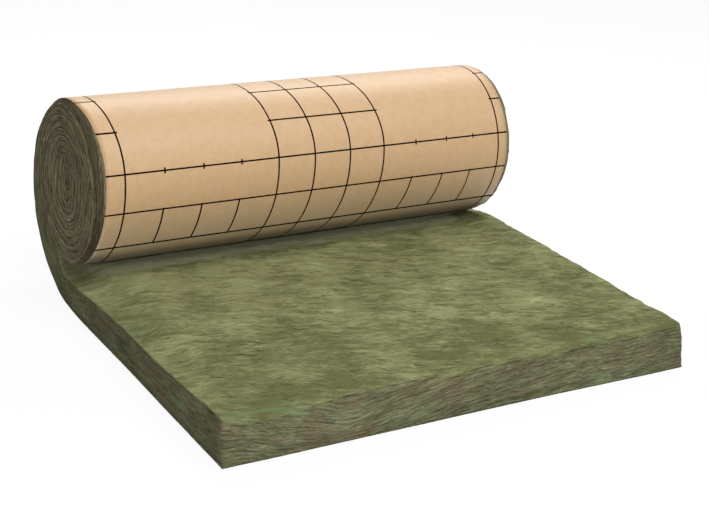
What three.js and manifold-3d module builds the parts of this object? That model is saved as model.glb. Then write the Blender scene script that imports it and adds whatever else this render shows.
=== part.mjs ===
// Kraft-faced mineral wool blanket, partly unrolled: most of it is still wound tight into a roll, and
// its free length lies flat on the floor in front. Lengths are in millimetres and angles in degrees.
// +X runs along the roll, -Y points to the free end and +Z is up. The origin is the middle of the
// footprint, on the floor.

import * as THREE from "three";
import { mergeVertices } from "three/addons/utils/BufferGeometryUtils.js";
import Module from "manifold-3d";

// Driving dimensions.
const blanketWidth = 1200; // length of the roll, and width of the flat stretch
const woolThickness = 108; // wool at rest, where nothing presses on it: a 100 mm blanket, well recovered
const rollRadius = 216; // over the paper, at the crown
const turnPitch = 18; // one turn of wool, compressed in the roll
const flatLength = 930; // from the free end to the point under the roll's axis
const rollPress = 5; // how far the roll sinks into the wool that it rests on
const rollLean = 20; // how far the roll's crown leans forward of its axis
const swellStart = 30; // past the crown, on the back, the last turn starts to swell
const nipReach = 18; // how far past its lowest point the roll still has its paper visible
const paperThickness = 0.8;
const paperMargin = 12; // bare wool past each long edge of the paper
const bondGap = 0.3; // room for the bitumen bond between wool and paper
const cutRounding = 7; // the cut edges of soft wool are slightly round
const eyeRadius = 12; // the innermost turn closes on this radius
const eyeFlattening = 0.4; // share of their width that the innermost turns have lost, pressed upright
const flattenedRadius = 130; // the turns are round from here outwards
const seamWidth = 5; // groove between two turns on the ends of the roll
const seamDepth = 8;

// Facets.
const skinStep = 5; // along the outside of the roll
const seamStep = 10; // along the turns on its ends
const cornerFacets = 3;

// Angles are measured round the roll's axis, from the crown towards the free end. Negative ones go down
// the back, and past 180 they follow the paper into the nip and on round the inner turns.
const bottom = 180;
const fullTurn = 360;

const woolFloor = paperThickness + bondGap;
const woolTop = woolFloor + woolThickness;
const nipEnd = bottom + nipReach;
const axisHeight = woolTop - rollPress + woundRadius(bottom);

// Outside of the paper where every turn is compressed: it loses one pitch in each turn.
function woundRadius(angle) {
  return rollRadius - (turnPitch * angle) / fullTurn;
}

// Outside of the paper, with the last turn swelling down the back until it lies flat under the axis.
function paperRadius(angle) {
  const swell = THREE.MathUtils.smoothstep(-angle, swellStart, bottom);
  return THREE.MathUtils.lerp(woundRadius(angle), axisHeight, swell);
}

// A point of the section, which is drawn with the free end to the left and the floor at zero. The
// soft roll leans forward, and its innermost turns are flattened.
function sectionPoint(angle, radius) {
  const turned = THREE.MathUtils.degToRad(angle);
  const above = radius * Math.cos(turned);
  const kept = 1 - eyeFlattening * (1 - THREE.MathUtils.smoothstep(radius, 0, flattenedRadius));
  return new THREE.Vector2(-kept * radius * Math.sin(turned) - (rollLean * above) / rollRadius, axisHeight + above);
}

// Points at one distance inside the paper's outer face, between two angles. Wool and paper share the
// same stations, so their facets run parallel.
function spiralPoints(fromAngle, toAngle, inset) {
  const way = Math.sign(toAngle - fromAngle);
  const angles = [fromAngle];
  const firstStation = Math.floor((way * fromAngle) / skinStep) + 1;
  for (let station = firstStation; station * skinStep < way * toAngle; station += 1) {
    angles.push(way * station * skinStep);
  }
  angles.push(toAngle);
  return angles.map((angle) => sectionPoint(angle, paperRadius(angle) - inset));
}

// A quarter round of the cut edge, from one angle of its own centre to the next.
function cornerPoints(centreX, centreY, startAngle) {
  return Array.from({ length: cornerFacets + 1 }, (_, i) => {
    const turned = THREE.MathUtils.degToRad(startAngle - (90 * i) / cornerFacets);
    return new THREE.Vector2(centreX + cutRounding * Math.cos(turned), centreY + cutRounding * Math.sin(turned));
  });
}

// The whole blanket in one outline: free end, top, under the roll into the nip, back out of it round
// the front, the crown and the back, and along the floor.
function woolSection() {
  const underside = woundRadius(bottom) + bondGap;
  const firstTouch = bottom - THREE.MathUtils.radToDeg(Math.acos(1 - rollPress / underside));
  return new THREE.Shape([
    ...cornerPoints(cutRounding - flatLength, woolFloor + cutRounding, 270),
    ...cornerPoints(cutRounding - flatLength, woolTop - cutRounding, 180),
    ...spiralPoints(firstTouch, nipEnd, -bondGap),
    ...spiralPoints(nipEnd, -bottom, woolFloor),
  ]);
}

// The paper: out of the nip, round the roll and along the floor to the free end.
function paperSection() {
  const paperStart = nipEnd - THREE.MathUtils.radToDeg(bondGap / woundRadius(nipEnd));
  return new THREE.Shape([
    ...spiralPoints(paperStart, -bottom, 0),
    new THREE.Vector2(-flatLength, 0),
    new THREE.Vector2(-flatLength, paperThickness),
    ...spiralPoints(-bottom, paperStart, paperThickness),
  ]);
}

// A section pushed across the blanket, from one margin to the other.
function extrudeAcross(section, margin) {
  const geometry = new THREE.ExtrudeGeometry(section, { depth: blanketWidth - 2 * margin, bevelEnabled: false });
  return geometry.translate(0, 0, margin);
}

// The line between the turns on one end of the roll, from the nip in to the eye, in even angles.
class TurnLine extends THREE.Curve {
  constructor(endFace) {
    super();
    this.endFace = endFace;
    this.start = bottom;
    this.finish = ((rollRadius - eyeRadius) * fullTurn) / turnPitch;
  }

  getPoint(t, target = new THREE.Vector3()) {
    const angle = THREE.MathUtils.lerp(this.start, this.finish, t);
    const flat = sectionPoint(angle, paperRadius(angle) - paperThickness / 2);
    return target.set(flat.x, flat.y, this.endFace);
  }

  getUtoTmapping(u) {
    return u;
  }
}

// The V-shaped groove between the turns: `inward` is +1 or -1, the way into the wool from that end.
function turnGroove(endFace, inward) {
  const line = new TurnLine(endFace);
  const overrun = 1;
  const mouth = (seamWidth / 2) * (1 + overrun / seamDepth);
  const profile = new THREE.Shape([
    new THREE.Vector2(-inward * seamDepth, 0),
    new THREE.Vector2(inward * overrun, inward * mouth),
    new THREE.Vector2(inward * overrun, -inward * mouth),
  ]);
  const steps = Math.ceil((line.finish - line.start) / seamStep);
  return new THREE.ExtrudeGeometry(profile, { extrudePath: line, steps });
}

function toSolid(wasm, geometry) {
  geometry.deleteAttribute("normal");
  geometry.deleteAttribute("uv");
  const merged = mergeVertices(geometry);
  const mesh = new wasm.Mesh({
    numProp: 3,
    vertProperties: new Float32Array(merged.attributes.position.array),
    triVerts: new Uint32Array(merged.index.array),
  });
  return new wasm.Manifold(mesh);
}

function toGeometry(solid) {
  const mesh = solid.getMesh();
  const geometry = new THREE.BufferGeometry();
  geometry.setAttribute("position", new THREE.BufferAttribute(mesh.vertProperties, 3));
  geometry.setIndex(new THREE.BufferAttribute(mesh.triVerts, 1));
  geometry.computeVertexNormals();
  return geometry;
}

const wasm = await Module();
wasm.setup();

function makeWool() {
  const material = new THREE.MeshStandardMaterial({ color: 0x787450, roughness: 1, metalness: 0 });
  const wool = toSolid(wasm, extrudeAcross(woolSection(), 0))
    .subtract(toSolid(wasm, turnGroove(0, 1)))
    .subtract(toSolid(wasm, turnGroove(blanketWidth, -1)));
  return new THREE.Mesh(toGeometry(wool), material);
}

function makePaper() {
  const material = new THREE.MeshStandardMaterial({ color: 0xd2b28a, roughness: 0.75, metalness: 0 });
  return new THREE.Mesh(extrudeAcross(paperSection(), paperMargin), material);
}

// How far the swollen last turn reaches behind the roll's axis.
function backReach() {
  return Math.max(...spiralPoints(0, -bottom, 0).map((point) => point.x));
}

const wool = makeWool();
wool.name = "wool_blanket";
const paper = makePaper();
paper.name = "kraft_facing";

// The section's x, y and depth become the blanket's Y, Z and X.
const blanket = new THREE.Group();
blanket.quaternion.setFromAxisAngle(new THREE.Vector3(1, 1, 1).normalize(), THREE.MathUtils.degToRad(120));
blanket.position.set(-blanketWidth / 2, (flatLength - backReach()) / 2, 0);
blanket.add(wool, paper);

const insulationRoll = new THREE.Group();
insulationRoll.add(blanket);

export default insulationRoll;
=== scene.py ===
"""Looks for a partly unrolled mineral wool blanket with a printed kraft paper facing.

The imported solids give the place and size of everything. The wool is laid here as one strip that is wound
into the roll, so that its layers follow the blanket round every turn, and the paper is one thin sheet
that runs out of the nip, round the roll and under the flat stretch.
"""

from __future__ import annotations

import logging
import math
import random
import sys
from collections.abc import Callable, Iterable
from dataclasses import dataclass, field
from enum import Enum
from functools import partial, reduce

import bmesh
import bpy
from mathutils import Matrix, Vector, noise

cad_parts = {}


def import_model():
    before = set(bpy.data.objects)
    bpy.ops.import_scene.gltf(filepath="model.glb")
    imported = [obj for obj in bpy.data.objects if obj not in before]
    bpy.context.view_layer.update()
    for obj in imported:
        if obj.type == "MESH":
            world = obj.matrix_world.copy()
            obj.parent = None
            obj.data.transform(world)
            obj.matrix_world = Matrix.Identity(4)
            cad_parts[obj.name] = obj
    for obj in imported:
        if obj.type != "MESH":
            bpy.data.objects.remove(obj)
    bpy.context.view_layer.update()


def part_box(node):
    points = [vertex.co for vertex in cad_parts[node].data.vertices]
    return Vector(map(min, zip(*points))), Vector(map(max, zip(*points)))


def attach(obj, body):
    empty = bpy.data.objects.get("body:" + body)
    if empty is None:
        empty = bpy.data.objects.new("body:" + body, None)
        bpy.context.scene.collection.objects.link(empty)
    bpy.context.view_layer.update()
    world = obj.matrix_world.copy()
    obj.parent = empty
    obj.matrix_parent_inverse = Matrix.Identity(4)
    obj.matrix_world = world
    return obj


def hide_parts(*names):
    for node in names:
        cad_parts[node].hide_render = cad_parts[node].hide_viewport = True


LOG = logging.getLogger("insulation_roll")
MM = 0.001
NOISE_SEED = 7
STRAND_SEED = 11
WHITE = "#FFFFFF"
# Points closer than this are one.
SAME_PLACE = 0.02 * MM
# What each vertex of the wool knows of itself, by the names in WoolPoint.
MARKS = ("relief", "turn", "wound", "cut", "hollow", "bulge", "rim", "calm", "painted_shading")

Colour = tuple[float, float, float, float]
Knots = tuple[tuple[float, float], ...]
Socket = bpy.types.NodeSocket
Adder = Callable[..., Socket]
Patterns = dict[str, Socket]


class Node(Enum):
    """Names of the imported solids."""

    WOOL = "wool_blanket"
    PAPER = "kraft_facing"


def srgb(code: str) -> Colour:
    """Turn an sRGB hex colour into linear RGBA.

    Args:
        code: Six hex digits, with or without a leading hash.

    Returns:
        The colour in linear light, fully opaque.
    """
    digits = code.lstrip("#")
    channels = [int(digits[i : i + 2], 16) / 255 for i in (0, 2, 4)]
    linear = [c / 12.92 if c <= 0.04045 else ((c + 0.055) / 1.055) ** 2.4 for c in channels]
    return (linear[0], linear[1], linear[2], 1.0)


def smoothstep(value: float, low: float, high: float) -> float:
    """Ease from 0 at low to 1 at high."""
    t = min(1.0, max(0.0, (value - low) / (high - low)))
    return t * t * (3 - 2 * t)


def lerp(a: float, b: float, t: float) -> float:
    """Blend from a to b."""
    return a + (b - a) * t


def curve_at(knots: Knots, place: float) -> float:
    """Read a smooth curve through (place, height) knots, level beyond its ends.

    Args:
        knots: The knots, in order of their places.
        place: Where to read it.

    Returns:
        Its height there.
    """
    last = len(knots) - 1
    if place <= knots[0][0] or place >= knots[last][0]:
        return knots[0 if place <= knots[0][0] else last][1]
    i = next(i for i in range(last) if place < knots[i + 1][0])

    def slope(j: int) -> float:
        """Slope at one knot: that of the line between its neighbours, and none at the two ends."""
        before, after = knots[max(j - 1, 0)], knots[min(j + 1, last)]
        return 0.0 if j in (0, last) else (after[1] - before[1]) / (after[0] - before[0])

    span = knots[i + 1][0] - knots[i][0]
    t = (place - knots[i][0]) / span
    ends = lerp(knots[i][1], knots[i + 1][1], t * t * (3 - 2 * t))
    return ends + span * (slope(i) * t * (1 - t) ** 2 - slope(i + 1) * t * t * (1 - t))


def rounded(run: float, radius: float, on_face: bool) -> tuple[float, float]:
    """Round a right-angled corner between two faces.

    Args:
        run: Distance of a point from the corner, on its own face.
        radius: Radius of the rounding.
        on_face: True on the face whose distances come first in the result, False on the other one.

    Returns:
        How far the point moves away from the corner along the other face's normal and along its own.
    """
    if run >= radius:
        return (0.0, 0.0)
    turned = math.radians(45) * (1 + run / radius)
    return (radius * (1 - math.cos(turned)) - run, radius * (1 - math.sin(turned))) if on_face else (
        radius * (1 - math.sin(turned)),
        radius * (1 - math.cos(turned)) - run,
    )


def wobble(place: float, size: float, seed: float, layer: float = 0.0) -> float:
    """Rise and fall along a line, in waves of about a size."""
    return noise.noise(Vector((place / size, seed, layer)))


def clear_nodes(owner: bpy.types.Material | bpy.types.World) -> bpy.types.NodeTree:
    """Give a material or a world an empty node tree.

    Args:
        owner: The material or world.

    Returns:
        The tree.
    """
    owner.use_nodes = True
    owner.node_tree.nodes.clear()
    return owner.node_tree


def add_node(
    tree: bpy.types.NodeTree,
    kind: str,
    inputs: dict[str, object] | Iterable[object] = (),
    output: int | str = 0,
    **settings: object,
) -> Socket | None:
    """Add one shader node with its settings, values and links.

    Args:
        tree: The node tree that gets the node.
        kind: Blender's name for the node's type, without its first word.
        inputs: Values, and output sockets to link, by the inputs' names or in the order of the inputs in use.
        output: Name or number of the output that is wanted.
        **settings: Properties of the node itself.

    Returns:
        That output, or None where the node has none.
    """
    node = tree.nodes.new(f"ShaderNode{kind}")
    for name, value in settings.items():
        setattr(node, name, value)
    if isinstance(inputs, dict):
        filled = [(node.inputs[name], value) for name, value in inputs.items()]
    else:
        filled = list(zip((socket for socket in node.inputs if socket.enabled), inputs))
    for socket, value in filled:
        if isinstance(value, Socket):
            tree.links.new(value, socket)
        else:
            socket.default_value = value
    outputs = node.outputs if isinstance(output, str) else [socket for socket in node.outputs if socket.enabled]
    return outputs[output] if outputs else None


def fold(add: Adder, operation: str, values: Iterable[Socket]) -> Socket:
    """Join values into one by an operation, from the first on."""
    return reduce(lambda joined, value: add("Math", (joined, value), operation=operation), values)


def set_stops(ramp: Socket, places: tuple[float, ...], codes: tuple[str, ...]) -> None:
    """Give a colour ramp its stops.

    Args:
        ramp: The output of a Color Ramp node.
        places: Position of each stop, in order.
        codes: Colour of each stop.
    """
    elements = ramp.node.color_ramp.elements
    while len(elements) < len(places):
        elements.new(1.0)
    for element, place, code in zip(elements, places, codes, strict=True):
        element.position = place
        element.color = srgb(code)


@dataclass(frozen=True)
class Winding:
    """The blanket's section, in metres and degrees, measured round the roll's axis from its crown.

    Positive angles go down the front, into the nip and on round the inner turns. Negative ones go down
    the back, where the last turn swells back to full thickness.

    Attributes:
        left: X of the blanket's left side.
        right: X of its right side.
        free_end: Y of its free end.
        crown: Height of the roll's top.
        flat_length: Length of the flat stretch, from the free end to under the roll's axis.
        crown_radius: Outer radius of the roll at its top.
        turn_pitch: Thickness of one wound turn.
        wool_thickness: Thickness of the wool where it lies flat.
        paper_thickness: Thickness that is kept free for the paper.
        bond_gap: Gap between the wool and the paper or the turn that it touches.
        swell_start: Angle down the back at which the last turn starts to swell.
        nip_end: Angle at which the paper and the slot end inside the nip.
        eye_radius: Radius at which the innermost turn ends.
        lean: How far forward the roll's top leans.
        paper_margin: Width of bare wool beside the paper.
    """

    left: float
    right: float
    free_end: float
    crown: float
    flat_length: float = 0.930
    crown_radius: float = 0.216
    turn_pitch: float = 0.018
    wool_thickness: float = 0.108
    paper_thickness: float = 0.0008
    bond_gap: float = 0.0003
    swell_start: float = 30.0
    nip_end: float = 198.0
    eye_radius: float = 0.012
    lean: float = 0.020
    paper_margin: float = 0.012

    @classmethod
    def from_frame(cls) -> Winding:
        """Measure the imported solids.

        Returns:
            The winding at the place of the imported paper.
        """
        low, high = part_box(Node.WOOL.value)
        return cls(left=low[0], right=high[0], free_end=low[1], crown=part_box(Node.PAPER.value)[1][2])

    @property
    def width(self) -> float:
        """Width of the blanket, which is the roll's length."""
        return self.right - self.left

    @property
    def axis_y(self) -> float:
        """The roll's axis, along Y."""
        return self.free_end + self.flat_length

    @property
    def axis_z(self) -> float:
        """The roll's axis, above the floor."""
        return self.crown - self.crown_radius

    @property
    def wool_floor(self) -> float:
        """Height of the wool's underside, on its paper."""
        return self.paper_thickness + self.bond_gap

    @property
    def wool_top(self) -> float:
        """Height of the flat stretch's upper face."""
        return self.wool_floor + self.wool_thickness

    @property
    def last_angle(self) -> float:
        """Angle at which the innermost turn closes."""
        return (self.crown_radius - self.eye_radius) * 360 / self.turn_pitch

    def wound(self, angle: float) -> float:
        """Outside of the paper where the turns are compressed."""
        return self.crown_radius - self.turn_pitch * angle / 360

    def paper(self, angle: float) -> float:
        """Outside of the paper, swelling down the back until it lies flat under the axis."""
        return lerp(self.wound(angle), self.axis_z, smoothstep(-angle, self.swell_start, 180))

    def leaning(self, above: float) -> float:
        """How far forward the roll leans, at a height above its axis."""
        return self.lean * above / self.crown_radius

    def point(self, angle: float, radius: float) -> tuple[float, float]:
        """Find a place in the section.

        Args:
            angle: Its angle round the axis, in degrees.
            radius: Its distance from the axis, before the roll leans.

        Returns:
            Its Y and Z.
        """
        turned = math.radians(angle)
        above = radius * math.cos(turned)
        return (self.axis_y - radius * math.sin(turned) - self.leaning(above), self.axis_z + above)


@dataclass(frozen=True)
class Station:
    """One cut through the blanket's thickness.

    Attributes:
        length: Distance along the blanket from its free end, in metres.
        outer: Y and Z on the paper side.
        inner: Y and Z on the bare side.
        angle: Angle round the roll's axis, or None on the flat stretch.
    """

    length: float
    outer: tuple[float, float]
    inner: tuple[float, float]
    angle: float | None = None

    def at(self, share: float) -> tuple[float, float]:
        """Y and Z at a share of the thickness, from the paper side."""
        return (lerp(self.outer[0], self.inner[0], share), lerp(self.outer[1], self.inner[1], share))

    @property
    def thickness(self) -> float:
        """Local thickness of the wool, in metres."""
        return math.dist(self.outer, self.inner)

    @property
    def wound(self) -> float:
        """How tight the wool is wound, from 0 where it still lies free under the roll to 1 up its back."""
        return 0.0 if self.angle is None else smoothstep(self.angle, -150, -30)


@dataclass(frozen=True)
class WoolPoint:
    """Where one vertex of the wool goes, and what it knows about the blanket there.

    Attributes:
        place: Its position.
        along: Distance along the fibres, for the pattern.
        across: Distance across the layers, for the pattern.
        relief: How far the surface may be ruffled here, from 0 to 1.
        turn: Height of a wound turn's own bulge, from 0 at a seam to 1 between two.
        wound: 1 where the wool is wound tight, and 0 where it lies free.
        bulge: Share of a free face's own swelling, 0 at its edges and 1 between them.
        rim: 1 at the upper edge of the free end, where green fibres show, fading over the faces beside it.
        cut: 1 on a cut face and 0 on the felted one.
        painted_shading: How much painted light and shade the face has: up to 1 for painted shade towards the free end
            and on the rim of the roll's left end, up to 2 in a band in front of the roll, painted darker and, above
            1.2, pale grey over the shade, and up to 3 for painted shadow deep in the nip and along the left foot.
        hollow: How deep the wool lies in shade by its form, from 0 to 1.
        calm: Share of the fine relief that is kept, less within a few cells of a corner.
    """

    place: Vector
    along: float
    across: float
    relief: float
    turn: float = 1.0
    wound: float = 0.0
    bulge: float = 0.0
    rim: float = 0.0
    cut: float = 1.0
    painted_shading: float = 0.0
    hollow: float = 0.0
    calm: float = 1.0


@dataclass(frozen=True)
class Ripple:
    """A pattern of small rises and hollows, longer along the fibres than across them.

    Attributes:
        length: Its size along the fibres, in metres.
        width: Its size across them.
        seed: Its place in the noise, so that no two patterns are alike.
    """

    length: float
    width: float
    seed: float

    def at(self, along: float, across: float) -> float:
        """Height at a place, from about -0.5 to 0.5."""
        return noise.noise(Vector((along / self.length, across / self.width, self.seed)))


@dataclass
class WoolBlanket:
    """The wool: a strip laid flat at the free end and wound into the roll at the other.

    Attributes:
        winding: The blanket's section.
        columns: Cells across the width.
        flat_step: Cell length along the flat stretch, in metres.
        turn_step: Angle of a cell round the roll, in degrees.
        fine_rows: Cells through the thickness where the wool is swollen.
        coarse_rows: Cells through one wound turn.
        fine_until: Angle up to which the fine rows run.
        drift: Angle between the fibres of the felted face and the roll's axis, in degrees.
        shoulder: Radius of the worn rim at the left end of the roll, past the paper's edge.
        right_creep: How far the wound wool has crept in from the right side.
        sag: Distance from the roll's axis along Y, and how far the left upper edge has sunk there.
        sag_width: Reach of that sinking from the left side.
        spread: Distance from the roll's axis, and how far the pressed wool has spread out to the left there.
        right_spread: The same to the right.
        rise: Distance from the roll's axis, and how far the right upper edge swells up there.
        rise_width: Reach of that swelling from the right side.
        foot: Distance from the left side, and how far the lower edge of the free end juts out there.
        flare: How far the lower right corner of the free end has spread out to the right.
        left_calm: Share of the relief that is left along the upper left edge.
        fold: Distance from the left side, and how far the felt hangs down over the free end there.
        skew: Distance from the left side, and how far the layers of the free end have dropped there.
        eye_shift: How far the eye of the roll's ends lies forward of its axis and above it.
        nick: Depth of the nicks that handling has left in the lower right edge.
        lip: Least and greatest radius at which the felted face rolls over the free end, in millimetres.
        tear: How far above and below its mean line the torn edge of the felt reaches on the free end.
        rim_fade: Distance below the upper edge at which its green fibres start to fade, and where they end.
        sway: Bending of the layers of a cut face.
        ridges: Long ridges between those layers.
        splits: Short ones.
        cut_heights: Heights of the ridges, the splits, the slow swells and a wound turn's bulge, in millimetres.
        furrows: Long soft furrows of the felted face.
        tufts: Small lumps of the felted face.
        felt_heights: Heights of the lumps, the furrows and the tufts, in millimetres.
        lump_size: Size of the slow lumps of the felted face, in metres.
        swell_size: Size of the slow swells of a cut face.
        stations: Cuts through the thickness, from the free end to the eye.
    """

    winding: Winding
    columns: int = 240
    flat_step: float = 0.005
    turn_step: float = 3.0
    fine_rows: int = 24
    coarse_rows: int = 6
    fine_until: float = -60.0
    drift: float = -20.0
    shoulder: float = 0.0155
    right_creep: float = 0.011
    sag: Knots = (
        (-0.93, 0.0), (-0.77, 0.008), (-0.60, 0.016), (-0.30, 0.018), (-0.19, 0.025), (-0.09, 0.033),
        (-0.03, 0.037), (0.03, 0.026), (0.079, 0.0),
    )
    sag_width: float = 0.095
    spread: Knots = (
        (-0.93, 0.001), (-0.80, 0.003), (-0.65, 0.0052), (-0.43, 0.0075), (-0.25, 0.0115), (-0.12, 0.0135),
        (0.0, 0.010), (0.06, 0.0045), (0.13, 0.0),
    )
    right_spread: Knots = (
        (-0.80, 0.0), (-0.60, 0.004), (-0.30, 0.007), (-0.10, 0.008), (0.0, 0.006), (0.10, 0.0),
    )
    rise: Knots = (
        (-0.80, 0.0), (-0.60, 0.004), (-0.40, 0.0075), (-0.20, 0.011), (-0.13, 0.012), (-0.08, 0.006),
        (-0.04, 0.0),
    )
    rise_width: float = 0.2
    foot: Knots = ((0.0, 0.006), (0.1, 0.008), (0.4, 0.011), (0.8, 0.0155), (1.2, 0.025))
    flare: float = 0.001
    left_calm: float = 0.1
    fold: Knots = (
        (0.0, 0.010), (0.05, 0.020), (0.15, 0.018), (0.25, 0.008), (0.40, 0.003), (0.48, 0.006), (0.56, 0.014),
        (0.63, 0.006), (0.75, 0.012), (0.85, 0.011), (0.95, 0.013), (1.05, 0.013), (1.20, 0.009),
    )
    skew: Knots = ((0.0, 0.0), (0.15, 0.03), (0.32, 0.055), (0.65, 0.01), (1.2, 0.0))
    eye_shift: tuple[float, float] = (0.010, 0.014)
    nick: float = 2.2 * MM
    lip: tuple[float, float] = (5, 13)
    tear: tuple[float, float] = (4 * MM, 5 * MM)
    rim_fade: tuple[float, float] = (8 * MM, 34 * MM)
    sway: Ripple = Ripple(0.11, 0.04, 3.1)
    ridges: Ripple = Ripple(0.1, 0.012, 7.7)
    splits: Ripple = Ripple(0.045, 0.007, 1.3)
    cut_heights: tuple[float, float, float, float] = (2.0, 0.8, 2.5, 3.0)
    furrows: Ripple = Ripple(0.08, 0.014, 5.5)
    tufts: Ripple = Ripple(0.035, 0.008, 9.2)
    felt_heights: tuple[float, float, float] = (3.6, 1.7, 0.6)
    lump_size: float = 0.12
    swell_size: float = 0.09
    stations: list[Station] = field(default_factory=list)

    def build(self) -> bpy.types.Object:
        """Lay the strip, wind it, close it and ruffle it.

        Returns:
            The wool as one closed mesh.
        """
        self.stations = self._flat_stations() + self._turned_stations()
        mesh = bmesh.new()
        mesh.loops.layers.uv.new("Fibre")
        for name in MARKS:
            mesh.verts.layers.float.new(name)
        self._lay_grid(mesh, (self.columns, self._slit_end), self._bare_point)
        self._lay_grid(mesh, (self.columns, self.fine_rows), self._end_point)
        self._lay_paper_side(mesh)
        for side in (-1, 1):
            self._lay_cut_side(mesh, side)
        # Along its edges the felted face's own values hold, so that no cut side's colour reaches into it.
        felted = [vert for vert in mesh.verts if vert[mesh.verts.layers.float["cut"]] == 0]
        met = bmesh.ops.find_doubles(mesh, verts=mesh.verts, keep_verts=felted, dist=SAME_PLACE)
        bmesh.ops.weld_verts(mesh, targetmap=met["targetmap"])
        bmesh.ops.remove_doubles(mesh, verts=mesh.verts, dist=SAME_PLACE)
        open_edges = [edge for edge in mesh.edges if edge.is_boundary]
        bmesh.ops.holes_fill(mesh, edges=open_edges, sides=0)
        bmesh.ops.recalc_face_normals(mesh, faces=mesh.faces)
        LOG.info("wool: %d faces, %d open edges left", len(mesh.faces), sum(e.is_boundary for e in mesh.edges))
        self._ruffle(mesh)
        self._soften_corners(mesh)
        return finish_mesh(mesh, "mineral_wool_blanket", smooth=True)

    @property
    def _slit_end(self) -> int:
        """Index of the station where the slot in the nip closes."""
        return self._station_at(self.winding.nip_end - 360)

    def _station_at(self, angle: float) -> int:
        """Index of the first station at or past an angle."""
        return next(i for i, s in enumerate(self.stations) if s.angle is not None and s.angle >= angle)

    def _flat_stations(self) -> list[Station]:
        """Cut the flat stretch.

        Returns:
            Stations from the free end to under the roll's axis.
        """
        w = self.winding
        whole = w.flat_length - w.leaning(w.wool_floor - w.axis_z)
        steps = math.ceil(whole / self.flat_step)
        under_roll = [w.point(angle / 2, w.wound(180) + w.bond_gap) for angle in range(200, 400)]
        stations = []
        for i in range(steps + 1):
            length = whole * i / steps
            y = w.free_end + length
            tops = [w.wool_top]
            for before, after in zip(under_roll, under_roll[1:]):
                if before[0] <= y < after[0]:
                    tops.append(lerp(before[1], after[1], (y - before[0]) / (after[0] - before[0])))
            stations.append(Station(length, (y, w.wool_floor), (y, min(tops))))
        return stations

    def _turned_stations(self) -> list[Station]:
        """Cut the roll.

        Returns:
            Stations from just past the axis, up the back and round every turn to the eye.
        """
        w = self.winding
        stations = []
        length = w.flat_length
        before = w.point(-180, w.paper(-180) - w.wool_floor)
        steps = math.floor((w.last_angle + 180) / self.turn_step)
        for i in range(1, steps + 1):
            angle = -180 + i * self.turn_step
            outer = w.point(angle, w.paper(angle) - w.wool_floor)
            facing = angle + 360
            gap = -w.bond_gap if facing < w.nip_end else w.wool_floor
            inner = w.point(facing, max(w.paper(facing) - gap, 1.5 * MM))
            length += math.dist(before, outer)
            before = outer
            stations.append(Station(length, outer, inner, angle))
        return stations

    def _lay_grid(
        self,
        mesh: bmesh.types.BMesh,
        counts: tuple[int, int],
        point_at: Callable[[int, int], WoolPoint],
    ) -> list[bmesh.types.BMVert]:
        """Lay one grid of cells on the blanket.

        Args:
            mesh: The mesh that gets the grid.
            counts: Cells in its two directions.
            point_at: Gives the vertex at a column and row.

        Returns:
            The grid's vertices.
        """
        layers = mesh.verts.layers.float
        verts = bmesh.ops.create_grid(mesh, x_segments=counts[0], y_segments=counts[1], size=0.5)["verts"]
        pattern = {}
        for vert in verts:
            point = point_at(round((vert.co.x + 0.5) * counts[0]), round((vert.co.y + 0.5) * counts[1]))
            vert.co = point.place
            for name in MARKS:
                vert[layers[name]] = getattr(point, name)
            pattern[vert] = (point.along, point.across)
        uv_layer = mesh.loops.layers.uv["Fibre"]
        for vert in verts:
            for loop in vert.link_loops:
                loop[uv_layer].uv = pattern[vert]
        return verts

    def _column_x(self, column: int) -> float:
        """X of one column of cells."""
        return lerp(self.winding.left, self.winding.right, column / self.columns)

    def _place(self, x: float, station: Station, share: float) -> Vector:
        """Place a point of the strip, with the forms that pressing and wear have given it.

        Args:
            x: Its place across the width.
            station: Its cut through the thickness.
            share: Its share of the thickness, from the paper side.

        Returns:
            Its place in space.
        """
        w = self.winding
        y, z = station.at(share)
        from_axis = station.inner[0] - w.axis_y
        if station.angle is None or station.angle < w.nip_end - 360:
            z -= curve_at(self.sag, from_axis) * (1 - smoothstep(x - w.left, 0, self.sag_width)) * share
            z += curve_at(self.rise, from_axis) * smoothstep(x, w.right - self.rise_width, w.right) * share
        if station.angle is not None:
            crept = lerp(smoothstep(station.angle, -170, -60), smoothstep(station.angle, -180, w.nip_end - 360), share)
            x = w.left + (x - w.left) * (1 - crept * self.right_creep / w.width)
        if station.angle is None:
            near_end = (1 - smoothstep(station.length, 0, 0.2)) * (1 - share)
            y -= curve_at(self.foot, x - w.left) * near_end
            nick = self.nick * smoothstep(x, w.right - 0.03, w.right) * smoothstep(share, 0, 0.15)
            z += nick * wobble(station.length, 0.026, 6.1) * share
            x += 1.5 * nick * wobble(station.length, 0.022, 4.4, share * 6)
            x += self.flare * smoothstep(x, w.right - 0.12, w.right) * near_end
        if station.angle is None or station.angle < -90:
            over_floor = station.outer[0] - w.axis_y
            x += curve_at(self.right_spread, over_floor) * smoothstep(x, w.right - 0.06, w.right)
            x -= curve_at(self.spread, over_floor) * (1 - smoothstep(x - w.left, 0, 0.06))
        return Vector((x, y, z))

    def reach(self, at: Vector) -> tuple[float, float, float]:
        """Find where the blanket ends, level with a point.

        Args:
            at: The point.

        Returns:
            X of the left side and of the right one, and Y of the free end.
        """
        w = self.winding
        over_floor = at.y - w.axis_y
        jutting = curve_at(self.foot, at.x - w.left) * (1 - at.z / w.wool_top)
        sides = (w.left - curve_at(self.spread, over_floor), w.right + curve_at(self.right_spread, over_floor))
        return (*sides, w.free_end - jutting)

    def _lip_radius(self, x: float) -> float:
        """Radius at which the felted face rolls over the free end, which varies along it and is least at its ends.

        Args:
            x: Place along the free end.

        Returns:
            The radius, in metres.
        """
        wide = smoothstep(min(x - self.winding.left, self.winding.right - x), 0.02, 0.12)
        least, greatest = self.lip
        return lerp(least, lerp(least, greatest, 0.5 + 0.5 * wobble(x, 0.13, 2.7)), wide) * MM

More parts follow.
